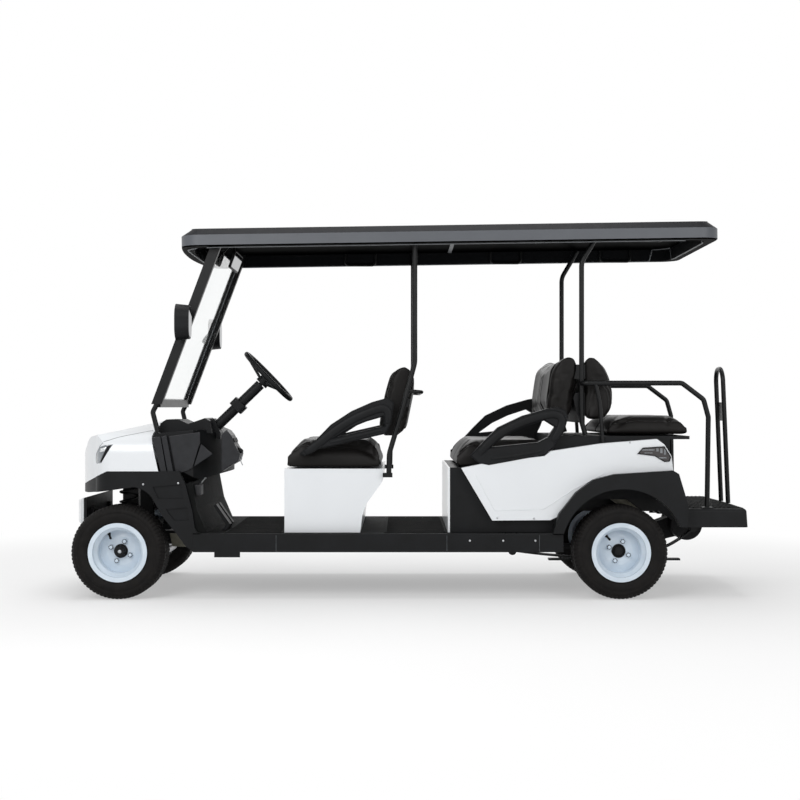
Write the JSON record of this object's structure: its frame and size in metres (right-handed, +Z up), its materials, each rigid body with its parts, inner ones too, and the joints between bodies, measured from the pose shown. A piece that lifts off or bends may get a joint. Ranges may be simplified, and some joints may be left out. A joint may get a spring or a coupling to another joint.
{
  "type": "six-seat golf cart",
  "caption": "Open electric golf cart with a long flat roof, forward and rear-facing bench seats, a white cowl and side panels, steel wheels and a rear step with grab hoop.",
  "frame": {"origin": "on the ground under the middle of the cart's length and width", "axes": "+X to the rear, +Y to the cart's right, +Z up"},
  "size_m": [3.4019, 1.33, 1.8741],
  "materials": {
    "body_white": "smooth gloss moulding",
    "trim_black": "fine-grained black moulding",
    "roof_black": "satin moulded roof",
    "frame_black": "black powder coat",
    "post_black": "black powder coat on round tube",
    "rim_white": "white enamelled steel",
    "hub_dark": "dark cast hub and drum",
    "tyre": "black tread rubber",
    "seat_vinyl": "black grained vinyl",
    "clear_screen": "clear acrylic sheet",
    "lamp_lens": "clear lens over reflectors",
    "tail_lens": "red lens",
    "mirror_shell": "black mirror housing",
    "spring_steel": "black painted spring steel",
    "steel_grey": "plain machined steel",
    "motor_cast": "dark cast housing",
    "battery_case": "dark battery cases"
  },
  "bodies": {
    "chassis": {"frame": "frame_black", "cross_members": "frame_black", "spring_tower": "frame_black", "spring_hangers": "frame_black", "backrest_shell": "trim_black", "floor": "trim_black", "sills": "trim_black", "front_cowl": "body_white", "front_fender": "trim_black", "front_bumper": "trim_black", "headlamps": "lamp_lens", "dashboard": "trim_black", "windshield": "clear_screen", "front_posts": "post_black", "roof": "roof_black", "roof_handles": "post_black", "roof_posts": "post_black", "seat_pod": "body_white", "battery_pack": "battery_case", "front_cushion": "seat_vinyl", "front_backrest": "seat_vinyl", "front_armrests": "trim_black", "middle_base": "trim_black", "kick_panel": "body_white", "middle_cushion": "seat_vinyl", "middle_backrest": "seat_vinyl", "middle_armrests": "trim_black", "rear_base": "trim_black", "rear_panels": "body_white", "rear_fenders": "trim_black", "tail_lamps": "tail_lens", "rear_cushion": "seat_vinyl", "rear_backrest": "seat_vinyl", "step": "trim_black", "side_rails": "post_black", "grab_hoop": "post_black", "mirrors": "mirror_shell", "steering_column": "trim_black", "pedals": "trim_black", "front_suspension": "frame_black", "steering_rack": "steel_grey", "rear_axle": "motor_cast", "leaf_springs": "spring_steel", "drive_motor": "motor_cast"},
    "knuckle_left": {"knuckle_left": "steel_grey"},
    "wheel_front_left": {"tyre_front_left": "tyre", "rim_front_left": "rim_white", "hub_front_left": "hub_dark"},
    "wheel_rear_left": {"tyre_rear_left": "tyre", "rim_rear_left": "rim_white", "hub_rear_left": "hub_dark"},
    "knuckle_right": {"knuckle_right": "steel_grey"},
    "wheel_front_right": {"tyre_front_right": "tyre", "rim_front_right": "rim_white", "hub_front_right": "hub_dark"},
    "wheel_rear_right": {"tyre_rear_right": "tyre", "rim_rear_right": "rim_white", "hub_rear_right": "hub_dark"},
    "tie_rod": {"tie_rod": "steel_grey"},
    "steering_wheel": {"steering_wheel": "trim_black"}
  },
  "joints": [
    {"name": "steer_left", "type": "hinge", "parent": "chassis", "child": "knuckle_left", "pos_m": [-1.406, -0.385, 0.2295], "axis": [0, 0, 1], "range_deg": [-28, 28]},
    {"name": "spin_front_left", "type": "hinge", "parent": "knuckle_left", "child": "wheel_front_left", "pos_m": [-1.406, -0.495, 0.2295], "axis": [0, 1, 0], "continuous": true},
    {"name": "spin_rear_left", "type": "hinge", "parent": "chassis", "child": "wheel_rear_left", "pos_m": [1.044, -0.495, 0.2295], "axis": [0, 1, 0], "continuous": true},
    {"name": "steer_right", "type": "hinge", "parent": "chassis", "child": "knuckle_right", "pos_m": [-1.406, 0.385, 0.2295], "axis": [0, 0, 1], "range_deg": [-28, 28]},
    {"name": "spin_front_right", "type": "hinge", "parent": "knuckle_right", "child": "wheel_front_right", "pos_m": [-1.406, 0.495, 0.2295], "axis": [0, 1, 0], "continuous": true},
    {"name": "spin_rear_right", "type": "hinge", "parent": "chassis", "child": "wheel_rear_right", "pos_m": [1.044, 0.495, 0.2295], "axis": [0, 1, 0], "continuous": true},
    {"name": "tie_rod_slide", "type": "slide", "parent": "chassis", "child": "tie_rod", "axis": [0, 1, 0], "range_m": [-0.077, 0.077]},
    {"name": "steering_wheel_turn", "type": "hinge", "parent": "chassis", "child": "steering_wheel", "pos_m": [-0.7, -0.27, 1.093], "axis": [0.7193, 0, 0.6947], "range_deg": [-450, 450]}
  ],
  "couplings": [
    {"joint": "steer_right", "follows": "steer_left", "ratio": 1},
    {"joint": "tie_rod_slide", "follows": "steer_left", "m_per_rad": 0.155},
    {"joint": "steering_wheel_turn", "follows": "steer_left", "ratio": 16}
  ]
}
